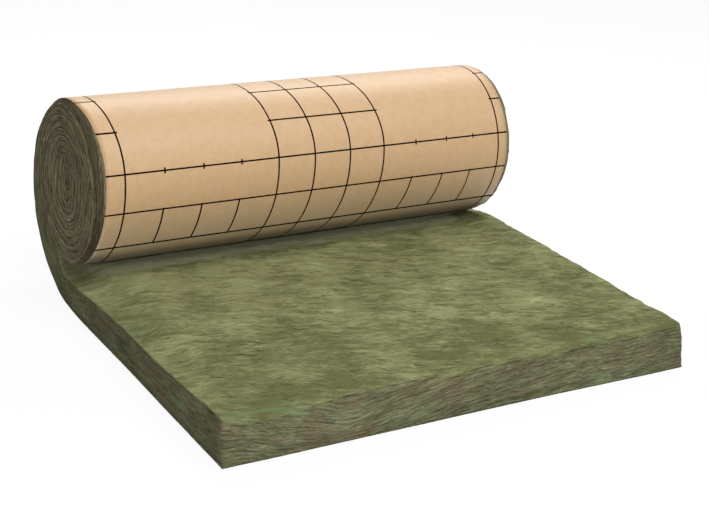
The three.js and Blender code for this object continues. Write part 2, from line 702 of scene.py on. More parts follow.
    def _nip_shading(self, x: float, station: Station) -> float:
        """Painted light and shade on the felted face: painted shade in a band in front of the roll, with pale grey
        painted over the shade nearer the roll, and painted shadow deep in the nip.

        Args:
            x: Place across the width.
            station: The cut through the thickness.

        Returns:
            How much painted light and shade the face has: about 2 in the band and 3 in the nip.
        """
        w = self.winding
        from_axis = station.inner[0] - w.axis_y
        beside = 1 - smoothstep(x - w.left, 0.02, 0.09)
        band = smoothstep(from_axis, -0.20, -0.075) * (1 - 0.45 * beside) * smoothstep(w.right - x, 0.01, 0.12)
        deep = smoothstep(from_axis, -0.068, -0.040) * (1 - 0.55 * beside)
        return max(2.0 * band, 3.1 * deep)

    def _shoulder_share(self, angle: float | None) -> float:
        """Share of the worn rim's radius at an angle round the roll.

        Args:
            angle: The angle, or None on the flat stretch.

        Returns:
            The share, from 0 on the flat stretch and in the nip to 1 at the crown and the front.
        """
        if angle is None:
            return 0.0
        return smoothstep(angle, -120, -20) * (1 - smoothstep(angle, 120, 175))

    def _bare_point(self, column: int, row: int) -> WoolPoint:
        """Give one vertex of the felted upper face, which ends with the slot in the nip.

        Args:
            column: Its column, from the left.
            row: Its row, from the free end.

        Returns:
            The vertex.
        """
        w, x, station = self.winding, self._column_x(column), self.stations[row]
        near_nip = w.flat_length - 50 * MM
        drift = math.radians(self.drift)
        relief = 1 - smoothstep(station.length, near_nip - 90 * MM, near_nip)
        relief *= lerp(self.left_calm, 1, smoothstep(x - w.left, 0, 0.05))
        along = x * math.cos(drift) + station.length * math.sin(drift)
        across = station.length * math.cos(drift) - x * math.sin(drift)
        place = self._place(x, station, 1)
        back, down = rounded(station.length, self._lip_radius(x), on_face=True)
        return WoolPoint(
            place + Vector((0, back, -down)),
            along,
            across * 0.6,
            relief,
            rim=1 - smoothstep(station.length, 3 * MM, 28 * MM),
            cut=0,
            # Painted shade, darkest at the free end and gone 60 cm in, and beside the roll the painted light and shade
            # of the nip.
            painted_shading=max(1 - smoothstep(station.length, 0.02, 0.60), self._nip_shading(x, station)),
            calm=self._calm(x - w.left, w.right - x, station.length),
        )

    def _end_point(self, column: int, row: int) -> WoolPoint:
        """Give one vertex of the free end, whose upper part the torn felt hangs over.

        Args:
            column: Its column, from the left.
            row: Its row, from the paper.

        Returns:
            The vertex.
        """
        w, x, station, share = self.winding, self._column_x(column), self.stations[0], row / self.fine_rows
        below = (1 - share) * station.thickness
        place = self._place(x, station, share)
        back, down = rounded(below, self._lip_radius(x), on_face=False)
        folded = curve_at(self.fold, x - w.left) + 4 * MM * wobble(x, 0.03, 8.1)
        cut = smoothstep(below, folded - self.tear[0], folded + self.tear[1])
        return WoolPoint(
            place + Vector((0, back, -down)),
            self._round_the_corner(x, 0.0),
            share * station.thickness + curve_at(self.skew, x - w.left),
            relief=lerp(0.25, 1, smoothstep(share, 0, 0.25)),
            bulge=self._belly(share),
            rim=max(1 - smoothstep(below, *self.rim_fade), 0.8 * (1 - smoothstep(share, 0.08, 0.3))),
            cut=cut,
            # The felt that hangs over the free end has the free end's painted shade.
            painted_shading=1 - cut,
            calm=self._calm(below),
        )

    @property
    def _borders(self) -> tuple[int, ...]:
        """Columns of the side that the paper covers: a few at each edge and one plain band between them."""
        return (0, 1, 2, 3, 4, 5, 6, self.columns - 1, self.columns)

    def _paper_point(self, column: int, row: int) -> WoolPoint:
        """Give one vertex of the side that the paper covers.

        Args:
            column: Number of its border, from the left.
            row: Its row, from the free end.

        Returns:
            The vertex.
        """
        w, x, station = self.winding, self._column_x(self._borders[column]), self.stations[row]
        share = self._shoulder_share(station.angle)
        place = self._place(x, station, 0)
        worn, sunk = rounded(x - w.left, self.shoulder * share, on_face=True) if share > 0 else (0.0, 0.0)
        # Painted shade darkens the rim of the roll's left end beside the paper's edge.
        shade = share * (1 - smoothstep(x - w.left, 0.018, 0.03))
        return WoolPoint(
            place + self._inward(place.y, place.z) * sunk + Vector((worn, 0, 0)),
            station.length,
            x,
            relief=0.35 * share * (1 - smoothstep(x - w.left, 0.012, 0.022)),
            wound=station.wound,
            painted_shading=0.8 * shade,
            hollow=shade,
        )

    def _lay_paper_side(self, mesh: bmesh.types.BMesh) -> None:
        """Lay the side that the paper covers, in one plain band with narrow borders.

        Args:
            mesh: The mesh that gets it.
        """
        last = self._station_at(self.winding.nip_end)
        verts = self._lay_grid(mesh, (len(self._borders) - 1, last), self._paper_point)
        long_edges = {e for v in verts for e in v.link_edges if e.calc_length() > self.winding.width / 2}
        for row in (0, last):
            self._divide_crossing(mesh, long_edges, self._borders[-3:-1], self.stations[row])

    def _divide_crossing(
        self, mesh: bmesh.types.BMesh, edges: set[bmesh.types.BMEdge], span: tuple[int, int], station: Station
    ) -> None:
        """Divide one end of the plain band into the columns of the face that it joins.

        Args:
            mesh: The mesh that holds the band.
            edges: The long edges of the band.
            span: The columns at their two ends.
            station: The cut where the end lies.
        """
        start, stop = (self._place(self._column_x(column), station, 0) for column in span)
        edge = min(edges, key=lambda e: sum(min((v.co - p).length for v in e.verts) for p in (start, stop)))
        divided = bmesh.ops.subdivide_edges(mesh, edges=[edge], cuts=span[1] - span[0] - 1)
        for vert in (part for part in divided["geom_inner"] if isinstance(part, bmesh.types.BMVert)):
            column = round(lerp(*span, (vert.co.x - start.x) / (stop.x - start.x)))
            vert.co = self._place(self._column_x(column), station, 0)

    def _lay_cut_side(self, mesh: bmesh.types.BMesh, side: int) -> None:
        """Lay one side of the blanket, which is one end of the roll.

        Args:
            mesh: The mesh that gets the side.
            side: -1 for the left side and 1 for the right one.
        """
        change = self._station_at(self.fine_until)
        coarse = (len(self.stations) - 1 - change, self.coarse_rows)
        point_at = partial(self._side_point, side, change, self.coarse_rows)
        self._lay_grid(mesh, (change, self.fine_rows), partial(self._side_point, side, 0, self.fine_rows))
        verts = self._lay_grid(mesh, coarse, point_at)
        start = [point_at(0, row).place for row in range(self.coarse_rows + 1)]
        joining = {v for v in verts if min((v.co - p).length for p in start) < SAME_PLACE}
        seam = [e for e in {e for v in joining for e in v.link_edges} if all(v in joining for v in e.verts)]
        bmesh.ops.subdivide_edges(mesh, edges=seam, cuts=self.fine_rows // self.coarse_rows - 1)

    def _side_point(self, side: int, first: int, rows: int, column: int, row: int) -> WoolPoint:
        """Give one vertex of a side.

        Args:
            side: -1 for the left side and 1 for the right one.
            first: Index of the station where its grid starts.
            rows: Cells of that grid through the thickness.
            column: Its column, from that station on.
            row: Its row, from the paper.

        Returns:
            The vertex.
        """
        w, station, share = self.winding, self.stations[first + column], row / rows
        left, wound = side < 0, station.wound
        x = w.left if left else w.right
        belly = math.sin(math.pi * share) if 0 < row < rows else 0.0
        # Painted shade darkens the rim of the roll's left end, near the paper.
        shade = self._shoulder_share(station.angle) * (1 - smoothstep(share, 0.1, 0.5)) if left else 0.0
        place = self._place(x, station, share)
        near_end = 1 - smoothstep(station.length, 0, 60 * MM)
        if left:
            place += self._worn_rim(station, share)
        below = (1 - share) * station.thickness
        top_relief = lerp(self.left_calm, 1, smoothstep(below, 0, 0.03)) if left else 1.0
        # Painted shadow along the foot of the left side, on the flat stretch.
        foot = 2.9 * (1 - smoothstep(share, 0.02, 0.07)) if left and station.angle is None else 0.0
        return WoolPoint(
            place + self._lip_corner(x, station.length, below),
            self._round_the_corner(x, station.length),
            share * station.thickness,
            relief=lerp(lerp(0.25, top_relief, smoothstep(share, 0, 0.25)), 1, wound),
            turn=lerp(1.0, belly**0.6, wound),
            wound=wound,
            bulge=self._belly(share) * (1 - wound),
            rim=near_end * (1 - smoothstep(below, *self.rim_fade)),
            painted_shading=max(0.8 * shade, foot),
            hollow=shade,
            calm=lerp(self._calm(below), 1, wound),
        )

    def _round_the_corner(self, x: float, length: float) -> float:
        """Distance along the layers of the cut faces, which run on round both corners of the free end."""
        w = self.winding
        return 20 + (x - w.left) + (length if x > w.left + w.width / 2 else -length)

    def _belly(self, share: float) -> float:
        """Share of a free cut face's swelling at a share of its height: none at its edges, level between them."""
        return smoothstep(share, 0, 0.22) * (1 - smoothstep(share, 0.78, 1))

    def _lip_corner(self, x: float, length: float, below: float) -> Vector:
        """Move a point of the blanket's side where the felted face rolls over the free end.

        Args:
            x: Its place across the width.
            length: Its distance from the free end.
            below: Its distance from the felted face.

        Returns:
            The move.
        """
        radius = self._lip_radius(x)
        on_top = length >= below
        back, down = rounded(max(length, below), radius, on_face=on_top)
        return Vector((0, back, -down)) * max(0.0, 1 - min(length, below) / radius)

    def _worn_rim(self, station: Station, share: float) -> Vector:
        """Move a point of the roll's left end onto its worn rim.

        Args:
            station: Its cut through the thickness.
            share: Its share of the thickness, from the paper side.

        Returns:
            The move.
        """
        size = self.shoulder * self._shoulder_share(station.angle)
        run = share * station.thickness
        if size <= 0 or run >= size:
            return Vector((0, 0, 0))
        worn, sunk = rounded(run, size, on_face=False)
        return self._inward(*station.at(share)) * sunk + Vector((worn, 0, 0))

    def _inward(self, y: float, z: float) -> Vector:
        """Direction from a place to the roll's axis."""
        return Vector((0, self.winding.axis_y - y, self.winding.axis_z - z)).normalized()

    def _ruffle(self, mesh: bmesh.types.BMesh) -> None:
        """Push the bare surfaces in and out as torn and cut wool is.

        Args:
            mesh: The closed mesh at its exact size.
        """
        layers = mesh.verts.layers.float
        names = ("relief", "turn", "cut", "wound", "hollow", "bulge", "calm")
        relief, turn, cut, wound, hollow, bulge, calm = (layers[name] for name in names)
        fibre = mesh.loops.layers.uv["Fibre"]
        mesh.normal_update()
        moves = []
        for vert in mesh.verts:
            along, across = vert.link_loops[0][fibre].uv
            if vert[cut] > 0 or vert[bulge] > 0:
                height, shade = self._cut_height(vert.co, along, across, vert[turn], vert[calm])
                height += self._side_swell(vert.co, vert.normal) * vert[bulge]
            else:
                height, shade = self._felt_height(vert.co, along, across, vert[calm])
            vert[hollow] = max(shade, vert[hollow])
            move = vert.normal * height * vert[relief]
            if vert[wound] > 0 and abs(vert.normal.x) > 0.7:
                move.x = math.copysign(height, vert.normal.x)
                move += self._turn_drift(vert.co)
            moves.append(move)
        for vert, move in zip(mesh.verts, moves, strict=True):
            vert.co += move

    def _calm(self, *gaps: float) -> float:
        """Fade the fine relief out within a few cells of the nearest corner, given the distances to them."""
        return smoothstep(min(gaps), 0, 3 * self.flat_step)

    def _soften_corners(self, mesh: bmesh.types.BMesh) -> None:
        """Round the corners between two bare faces and blend their finish across them.

        Args:
            mesh: The ruffled mesh.
        """
        layers = mesh.verts.layers.float
        relief, cut = layers["relief"], layers["cut"]
        mesh.normal_update()
        sharp, bare = math.radians(50), 0.3
        corners = {
            v
            for e in mesh.edges
            if e.is_manifold and e.calc_face_angle(0) > sharp and all(v[relief] > bare for v in e.verts)
            for v in e.verts
        }
        upright = {v for v in corners if self._on_upright_corner(v)}
        soft = corners - upright
        wider = soft | {e.other_vert(v) for v in soft for e in v.link_edges if e.other_vert(v)[relief] > bare}
        all_axes = {"use_axis_x": True, "use_axis_y": True, "use_axis_z": True}
        for verts in (corners, wider - upright):
            bmesh.ops.smooth_vert(mesh, verts=list(verts), factor=0.5, **all_axes)
            blended = {v: sum(e.other_vert(v)[cut] for e in v.link_edges) / len(v.link_edges) for v in verts}
            for vert, share in blended.items():
                vert[cut] = lerp(vert[cut], share, 0.6)

    def _on_upright_corner(self, vert: bmesh.types.BMVert) -> bool:
        """Tell the two sharp upright corners of the free end from the rest.

        Args:
            vert: A vertex on a corner.

        Returns:
            Whether it lies on one of the two.
        """
        w, near = self.winding, 12 * MM
        near_side = min(vert.co.x - w.left, w.right - vert.co.x) < near
        return near_side and vert.co.y < w.free_end + near and vert.co.z < w.wool_top - near

    def _cut_height(self, at: Vector, along: float, across: float, turn: float, calm: float) -> tuple[float, float]:
        """Height and shade of a cut face, whose layers part into long wavy ridges.

        Args:
            at: The place on the face.
            along: Distance along the layers.
            across: Distance across them.
            turn: Bulge of the wound turn.
            calm: Share of the fine relief that is kept.

        Returns:
            How far the wool stands out, in metres, and how deep in shade it lies, from 0 to 1.
        """
        swayed = across + self.sway.at(along, across) * 6 * MM
        ridge, split = (ripple.at(along, swayed) for ripple in (self.ridges, self.splits))
        swell = noise.noise(at / self.swell_size)
        tall, short, slow, bulging = self.cut_heights
        height = tall * ridge * calm + short * split * calm + slow * swell + bulging * (turn - 1)
        shade = 0.5 - 0.5 * ridge - 0.25 * split + 0.45 * (1 - turn)
        return height * MM, min(1.0, max(0.0, shade))

    def _felt_height(self, at: Vector, along: float, across: float, calm: float) -> tuple[float, float]:
        """Height and shade of the felted face, which is lumpy with long soft furrows.

        Args:
            at: The place on the face.
            along: Distance along the fibres.
            across: Distance across them.
            calm: Share of the fine relief that is kept.

        Returns:
            How far the wool stands out, in metres, and how deep in shade it lies, from 0 to 1.
        """
        lumps = noise.fractal(at / self.lump_size, 0.8, 2.1, 3)
        furrow, tuft = (ripple.at(along, across) for ripple in (self.furrows, self.tufts))
        slow, long, short = self.felt_heights
        height = slow * lumps + (long * furrow + short * tuft) * calm
        return height * MM, min(1.0, max(0.0, 0.5 - 0.5 * furrow - 0.3 * tuft - 0.25 * lumps))

    def _side_swell(self, at: Vector, normal: Vector) -> float:
        """How far a cut face swells out between the paper and the felted face.

        Args:
            at: The place on the face.
            normal: The way that the face looks.

        Returns:
            The swelling, in metres.
        """
        w = self.winding
        to_corner = smoothstep(at.x, w.right - 0.15, w.right)
        lumps = 2.5 * noise.noise(at / 0.035) if normal.x > 0.4 else 0.0
        return (3.0 if normal.x < -0.4 else lerp(5.0, 2.5, to_corner) + lumps) * MM

    def _turn_drift(self, at: Vector) -> Vector:
        """Uneven winding: how far a turn lies off its place, none at the outermost one.

        The innermost turns are pressed flat, so that the eye is an upright slit, a little above the axis.

        Args:
            at: The place on the roll's end.

        Returns:
            The move.
        """
        w = self.winding
        offset = Vector((0, at.y - w.axis_y, at.z - w.axis_z))
        radius = offset.length
        share = 1 - smoothstep(radius, 0.6 * w.crown_radius, w.crown_radius - w.turn_pitch)
        drift = noise.noise_vector(at / 0.07) * 6 * MM + noise.noise_vector(at / 0.028) * 2.5 * MM
        squeeze = 1 - smoothstep(radius, 0, 0.6 * w.crown_radius)
        forward = drift.y * share - (0.6 * offset.y + self.eye_shift[0]) * squeeze
        return Vector((0, forward, drift.z * share + (0.12 * offset.z + self.eye_shift[1]) * squeeze))


@dataclass
class LooseFibres:
    """Wisps of wool that have come loose: thin curved strands lying on the wool, rooted in it at both ends.

    Attributes:
        wool: The finished wool.
        blanket: Its sizes and forms.
        count: How many strands there are.
        thickness: Diameter of a strand, in metres; single fibres are far too fine to see.
        points: Points along a strand.
        overhang: How far a strand may reach past the blanket's own planes, in metres.
        side_facing: Least part of a face's direction that points along the roll, on its ends and sides.
        lengths: Least and greatest length of a strand, in millimetres.
        lifts: Least and greatest height of its middle over the wool, in millimetres.
        stray: Usual angle between a strand and the fibres under it, in radians.
        tight_stray: The same where the strand is held between layers.
        bow: Usual bend of a strand, as a share of its length.
        rooting: How deep its two ends reach into the wool, in millimetres.
    """

    wool: bpy.types.Object
    blanket: WoolBlanket
    count: int = 3400
    thickness: float = 0.0008
    points: int = 6
    overhang: float = 0.0015
    side_facing: float = 0.8
    lengths: tuple[float, float] = (18, 60)
    lifts: tuple[float, float] = (0.2, 1.6)
    stray: float = 0.35
    tight_stray: float = 0.1
    bow: float = 0.12
    rooting: float = 1.2

    def build(self) -> bpy.types.Object:
        """Lay the strands over the bare faces.

        Returns:
            All strands as one mesh.
        """
        chance = random.Random(STRAND_SEED)
        mesh = bmesh.new()
        mesh.from_mesh(self.wool.data)
        fibre = mesh.loops.layers.uv["Fibre"]
        relief, wound = (mesh.verts.layers.float[name] for name in ("relief", "wound"))
        bare = [
            f
            for f in mesh.faces
            if len(f.verts) == 4
            and all(v[relief] > 0.2 for v in f.verts)
            and (abs(f.normal.x) > self.side_facing or f.verts[0][wound] < 0.1)
        ]
        areas = [face.calc_area() for face in bare]
        curve = bpy.data.curves.new("loose_strands", "CURVE")
        curve.dimensions = "3D"
        curve.bevel_depth = self.thickness / 2
        curve.bevel_resolution = 0
        curve.use_fill_caps = True
        chosen = chance.choices(bare, weights=areas, k=self.count)
        for face in chosen:
            way = self._fibre_way(face, fibre)
            tight = face.verts[0][wound] > 0.3 or abs(face.normal.x) > self.side_facing
            self._lay_strand(curve, face, way, chance, tight)
        names = ("cut", "wound", "hollow", "turn", "rim")
        known = {name: [face.verts[0][mesh.verts.layers.float[name]] for face in chosen] for name in names}
        mesh.free()
        source = bpy.data.objects.new("loose_strands", curve)
        data = bpy.data.meshes.new_from_object(source)
        bpy.data.objects.remove(source)
        points = len(data.vertices) // self.count
        for name, values in known.items():
            layer = data.attributes.new(name, "FLOAT", "POINT")
            layer.data.foreach_set("value", [value for value in values for _ in range(points)])
        strands = bpy.data.objects.new("loose_wool_strands", data)
        bpy.context.collection.objects.link(strands)
        return strands

    def _fibre_way(self, face: bmesh.types.BMFace, fibre: bmesh.types.BMLayerItem) -> Vector:
        """Direction in space of the fibres on a face.

        Args:
            face: The face.
            fibre: The layer that holds the distance along the fibres.

        Returns:
            The direction, of length 1.
        """
        way = Vector((0, 0, 0))
        for loop in face.loops:
            following = loop.link_loop_next
            step = following[fibre].uv.x - loop[fibre].uv.x
            way += (following.vert.co - loop.vert.co) * step
        return way.normalized()

    def _lay_strand(
        self, curve: bpy.types.Curve, face: bmesh.types.BMFace, way: Vector, chance: random.Random, tight: bool
    ) -> None:
        """Lay one strand on a face, along its fibres.

        Args:
            curve: The curve that gets the strand.
            face: The face of wool under the strand's middle.
            way: Direction of the fibres.
            chance: The source of random numbers.
            tight: Whether it is held in a side or between two turns, and so short and in line with the fibres.
        """
        normal = face.normal
        side = normal.cross(way)
        turn = chance.gauss(0, self.tight_stray if tight else self.stray)
        run = (way * math.cos(turn) + side * math.sin(turn)).normalized()
        cross = normal.cross(run)
        length = chance.uniform(*self.lengths) * MM * (0.5 if tight else 1)
        bow = chance.gauss(0, self.bow) * length
        lift = chance.uniform(*self.lifts) * MM
        middle = face.calc_center_median()
        spline = curve.splines.new("POLY")
        spline.points.add(self.points - 1)
        for i, point in enumerate(spline.points):
            t = 2 * i / (self.points - 1) - 1
            arch = 1 - t * t
            above = lift * arch - self.rooting * MM * t * t
            place = middle + run * t * length / 2 + cross * bow * arch + normal * above
            # No two points may meet where they are held in, or the strand would lose a ring of its faces.
            point.co = (*(self._tuck_in(place, normal) - normal * i * MM / 20), 1)
            point.radius = 0.35 + 0.65 * arch

    def _tuck_in(self, place: Vector, normal: Vector) -> Vector:
        """Keep a point of a strand from sticking out past the blanket's sides or into the floor.

        Args:
            place: The point.
            normal: The way that the wool under the strand looks.

        Returns:
            The point, held in.
        """
        low, high, front = self.blanket.reach(place)
        past = self.overhang if abs(normal.x) > self.side_facing else -4 * MM
        x = min(max(place.x, low - past), high + past)
        return Vector((x, max(place.y, front - self.overhang), max(place.z, 3 * MM)))


@dataclass
class KraftSheet:
    """The paper facing: one thin sheet from inside the nip, round the roll and along the floor.

    Attributes:
        winding: The blanket's section.
        columns: Cells across the width.
        turn_step: Angle of a cell round the roll, in degrees.
        flat_step: Cell length along the floor, in metres.
        thickness: Thickness of paper and bitumen together, in metres.
        wander: Angle round the roll, and how far the sheet has wandered to the right there.
        wander_share: Share of the width from the left, and share of that wandering there.
        right_creep: Angle round the roll, and how far the right edge has crept in there.
        print_shift: How far the print lies to the right on the paper.
        slack: Angle round the roll, and how far the print has slipped on down the front there.
        edge_lift: Angle round the roll, and how far the print's left edge has been drawn up there.
        cockle: Height of the paper's rise and fall over the wool, in millimetres.
        cockle_size: Its size across the sheet and round the roll, in metres.
    """

    winding: Winding
    columns: int = 80
    turn_step: float = 2.5
    flat_step: float = 0.02
    thickness: float = 0.0005
    wander: Knots = (
        (-70, 0.0), (-35, -0.001), (0, 0.001), (30, 0.012), (60, 0.019), (90, 0.0145), (120, 0.006), (150, -0.003),
        (175, -0.009),
    )
    wander_share: Knots = (
        (0.0, 1.0), (0.35, 1.25), (0.6, 1.6), (0.75, 1.5), (0.85, 1.1), (0.95, -0.15), (1.0, -0.25),
    )
    right_creep: Knots = ((-60, 0.0), (0, 0.003), (90, 0.003), (170, 0.008))
    print_shift: float = 0.009
    slack: Knots = (
        (0, 0.0), (40, 0.006), (70, 0.0035), (97, 0.0), (118, 0.012), (150, 0.012),
    )
    edge_lift: Knots = ((-80, 0.0), (-30, 0.026), (0, 0.026), (12, 0.022), (38, 0.008), (62, 0.001), (75, 0.0))
    cockle: float = 0.4
    cockle_size: tuple[float, float] = (0.16, 0.09)

    def build(self) -> bpy.types.Object:
        """Lay the sheet and give it its thickness.

        Returns:
            The paper as one closed mesh.
        """
        w = self.winding
        course = self._course()
        mesh = bmesh.new()
        uv_layer = mesh.loops.layers.uv.new("Print")
        counts = (self.columns, len(course) - 1)
        verts = bmesh.ops.create_grid(mesh, x_segments=counts[0], y_segments=counts[1], size=0.5)["verts"]
        printed = {}
        for vert in verts:
            share = vert.co.x + 0.5
            distance, angle, y, z = course[round((vert.co.y + 0.5) * counts[1])]
            across = lerp(w.paper_margin, w.width - w.paper_margin, share)
            wandered = curve_at(self.wander, angle) * curve_at(self.wander_share, share)
            vert.co = (w.left + across + wandered - curve_at(self.right_creep, angle) * share**4, y, z)
            lifted = curve_at(self.edge_lift, angle) * (1 - smoothstep(share, 0.08, 0.25))
            printed[vert] = (across - self.print_shift, distance - curve_at(self.slack, angle) + lifted)
        for vert in verts:
            for loop in vert.link_loops:
                loop[uv_layer].uv = printed[vert]
        bmesh.ops.recalc_face_normals(mesh, faces=mesh.faces)
        self._face_outwards(mesh)
        self._cockle(mesh)
        bmesh.ops.solidify(mesh, geom=mesh.faces, thickness=self.thickness)
        return finish_mesh(mesh, "kraft_paper_facing", smooth=True)

    def _course(self) -> list[tuple[float, float, float, float]]:
        """Follow the paper from the nip to the free end.

        Returns:
            Distance from the crown, positive down the front, with the angle, Y and Z.
        """
        w = self.winding
        start = w.nip_end - 3
        steps = math.ceil((start + 180) / self.turn_step)
        angles = [lerp(start, -180, i / steps) for i in range(steps + 1)]
        places = [w.point(angle, w.paper(angle)) for angle in angles]
        lengths = [0.0]
        for before, after in zip(places, places[1:]):
            lengths.append(lengths[-1] + math.dist(before, after))
        crown = lengths[min(range(len(angles)), key=lambda i: abs(angles[i]))]
        course = [(crown - length, angle, *place) for length, angle, place in zip(lengths, angles, places, strict=True)]
        distance, angle, y, z = course[-1]
        flats = math.ceil((y - w.free_end) / self.flat_step)
        for i in range(1, flats + 1):
            run = (y - w.free_end) * i / flats
            course.append((distance - run, angle, y - run, z))
        return course

    def _face_outwards(self, mesh: bmesh.types.BMesh) -> None:
        """Turn the sheet so that its printed side faces away from the wool.

        Args:
            mesh: The sheet.
        """
        mesh.faces.ensure_lookup_table()
        top = max(mesh.faces, key=lambda face: face.calc_center_median().z)
        if top.normal.z < 0:
            bmesh.ops.reverse_faces(mesh, faces=mesh.faces)

    def _cockle(self, mesh: bmesh.types.BMesh) -> None:
        """Let the paper rise and fall slightly over the wool, where it isn't on the floor.

        Args:
            mesh: The sheet.
        """
        mesh.normal_update()
        wide, round_roll = self.cockle_size
        for vert in mesh.verts:
            lift = smoothstep(vert.co.z, 0.01, 0.05)
            wave = noise.noise(Vector((vert.co.x / wide, vert.co.y / round_roll, vert.co.z / round_roll)))
            vert.co += vert.normal * wave * self.cockle * MM * lift


@dataclass(frozen=True)
class WoolFinish:
    """Mineral wool, spun and felted, then cut: dull, fibrous and mottled, browner where it is wound.

    Each set of colours holds the dark, middle and light tone of one kind of face.

    Attributes:
        felt: The felted upper face.
        cut: The cut faces.
        wound: The ends of the roll.
        crease: Painted shade in the gaps between two layers.
        green: Fibres that show along the cut edges.
        brown: Patches with more binder.
        shading_paints: A pale grey painted over the shade in the band in front of the roll, then painted
            shadow deep in the nip and along the left foot: the span of painted shading over which each comes up,
            its full share and its colour.
        tone_places: Places of the dark, middle and light tone.
        grains: Name of each pattern that follows the fibres, its length and width in metres, and its detail.
        ply: Thickness of one layer of wool, in metres.
        ply_sway: How far the gaps between two layers sway, in metres.
        blots: Name of each round pattern, its size in metres and its seed.
        felt_weights: Share of each pattern in the tone of the felted face.
        cut_weights: The same on the cut faces.
        lift_weights: Share of each pattern in the height of the fine relief, over that of the streaks.
        lift: Full height of that relief, in metres.
    """

    felt: tuple[str, str, str] = ("#626440", "#888A60", "#A4A778")
    cut: tuple[str, str, str] = ("#56543C", "#7B7A5C", "#989875")
    wound: tuple[str, str, str] = ("#5B533F", "#90876A", "#B0A78B")
    crease: str = "#2B281C"
    green: str = "#7FA578"
    brown: str = "#806A55"
    shading_paints: tuple[tuple[float, float, float, str], ...] = ((1.2, 2.1, 0.8, "#BCBD9E"), (2.2, 3.0, 0.8, "#34342C"))
    tone_places: tuple[float, float, float] = (0.31, 0.5, 0.71)
    grains: tuple[tuple[str, float, float, float], ...] = (
        ("streak", 0.060, 0.0080, 4.0),
        ("layer", 0.095, 0.0085, 2.0),
        ("split", 0.045, 0.0055, 2.0),
        ("hair", 0.016, 0.0020, 3.0),
        ("tint", 0.170, 0.0450, 3.0),
        ("sway", 0.070, 0.0250, 2.0),
    )
    ply: float = 0.009
    ply_sway: float = 0.018
    blots: tuple[tuple[str, float, float], ...] = (("patch", 0.16, 6.1), ("mottle", 0.05, 5.0), ("binder", 0.08, 3.3))
    # The last two shares darken the tone with painted shade, in the wool's hollows and where the blanket has it.
    felt_weights: tuple[tuple[str, float], ...] = (
        ("streak", 0.45),
        ("split", 0.2),
        ("hair", 0.45),
        ("patch", 0.5),
        ("mottle", 0.4),
        ("hollow", -0.2),
        ("worn", -0.12),
    )
    cut_weights: tuple[tuple[str, float], ...] = (
        ("streak", 0.4),
        ("split", 0.35),
        ("hair", 0.6),
        ("patch", 0.25),
        ("mottle", 0.15),
        ("hollow", -0.2),
        ("worn", -0.2),
    )
    lift_weights: tuple[tuple[str, float], ...] = (("hair", 0.35), ("split", 0.6), ("crease", -0.3))
    lift: float = 5 * MM

    def make(self) -> bpy.types.Material:
        """Build the material.

        Returns:
            The wool's material.
        """
        material = bpy.data.materials.new("mineral_wool")
        add = partial(add_node, clear_nodes(material))
        names = ("cut", "wound", "hollow", "turn", "rim", "painted_shading")
        grain = {name: add("Attribute", attribute_name=name, output="Fac") for name in names}
        self._add_patterns(add, grain)
        felt, cut = (self._tone(add, grain, weights) for weights in (self.felt_weights, self.cut_weights))
        faces = []
        for tone, codes in ((felt, self.felt), (cut, self.cut), (cut, self.wound)):
            faces.append(add("ValToRGB", (tone,)))
            set_stops(faces[-1], self.tone_places, codes)
        layers = [
            (grain["cut"], faces[1]),
            (grain["wound"], faces[2]),
            (self._green_share(add, grain), srgb(self.green)),
            (self._product(add, grain, (("binder", 0.48, 0.36, 0.0, 0.42), ("loose",))), srgb(self.brown)),
            # Painted shade in creases, in the seams between turns and under the felt's lip.
            (grain["crease"], srgb(self.crease)),
        ]
        # Pale grey painted over the shade in front of the roll, then dark painted shadow in the nip and along the left
        # foot.
        for start, end, share, code in self.shading_paints:
            layers.append((add("MapRange", (grain["settled"], start, end, 0.0, share)), srgb(code)))
        base = faces[0]
        for share, colour in layers:
            base = add("Mix", (share, base, colour), data_type="RGBA")
        grain["lift"] = self._sum(add, grain, self.lift_weights, grain["streak"])
        lift = self._product(add, grain, (("lift",), ("cut", 0.0, 1.0, 0.6, 1.0)))
        bump = add("Bump", {"Height": lift, "Strength": 0.9, "Distance": self.lift})
        surface = {"Base Color": base, "Roughness": 1.0, "IOR": 1.45, "Specular IOR Level": 0.1, "Normal": bump}
        add("OutputMaterial", (add("BsdfPrincipled", surface),))
        return material

    def _add_patterns(self, add: Adder, grain: Patterns) -> None:
        """Add every pattern's value, by its name.

        Args:
            add: Adds a node to the material.
            grain: What the surface knows of itself, which gets the patterns.
        """
        fibre = add("UVMap", uv_map="Fibre")
        place = add("TexCoord", output="Object")
        # The fibres wander: their course bends by up to 23 mm over 120 mm, and less where the layers are cut.
        bend = add("TexNoise", {"Vector": place, "Scale": 1 / 0.12, "Detail": 3.0}, output="Color")
        bend = add("VectorMath", (bend, (0.5, 0.5, 0.5)), operation="SUBTRACT")
        reach = add("MapRange", (grain["cut"], 0.0, 1.0, 0.046, 0.022))
        bend = add("VectorMath", (bend, reach), operation="SCALE")
        course = add("VectorMath", (fibre, bend), operation="ADD")
        for name, length, width, detail in self.grains:
            laid = add("Mapping", {"Vector": course, "Scale": (1 / length, 1 / width, 1)})
            grain[name] = add("TexNoise", {"Vector": laid, "Scale": 1.0, "Detail": detail, "Roughness": 0.6})
        for name, size, seed in self.blots:
            blot = {"Vector": place, "W": seed, "Scale": 1 / size, "Detail": 3.0, "Roughness": 0.55}
            grain[name] = add("TexNoise", blot, noise_dimensions="4D")
        # The painted shade darkens the tone as well, by no more than it does at 1.
        grain["worn"] = add("Math", (grain["painted_shading"], 1.0), operation="MINIMUM")
        grain["loose"] = add("Math", (grain["cut"], grain["wound"]), operation="SUBTRACT")
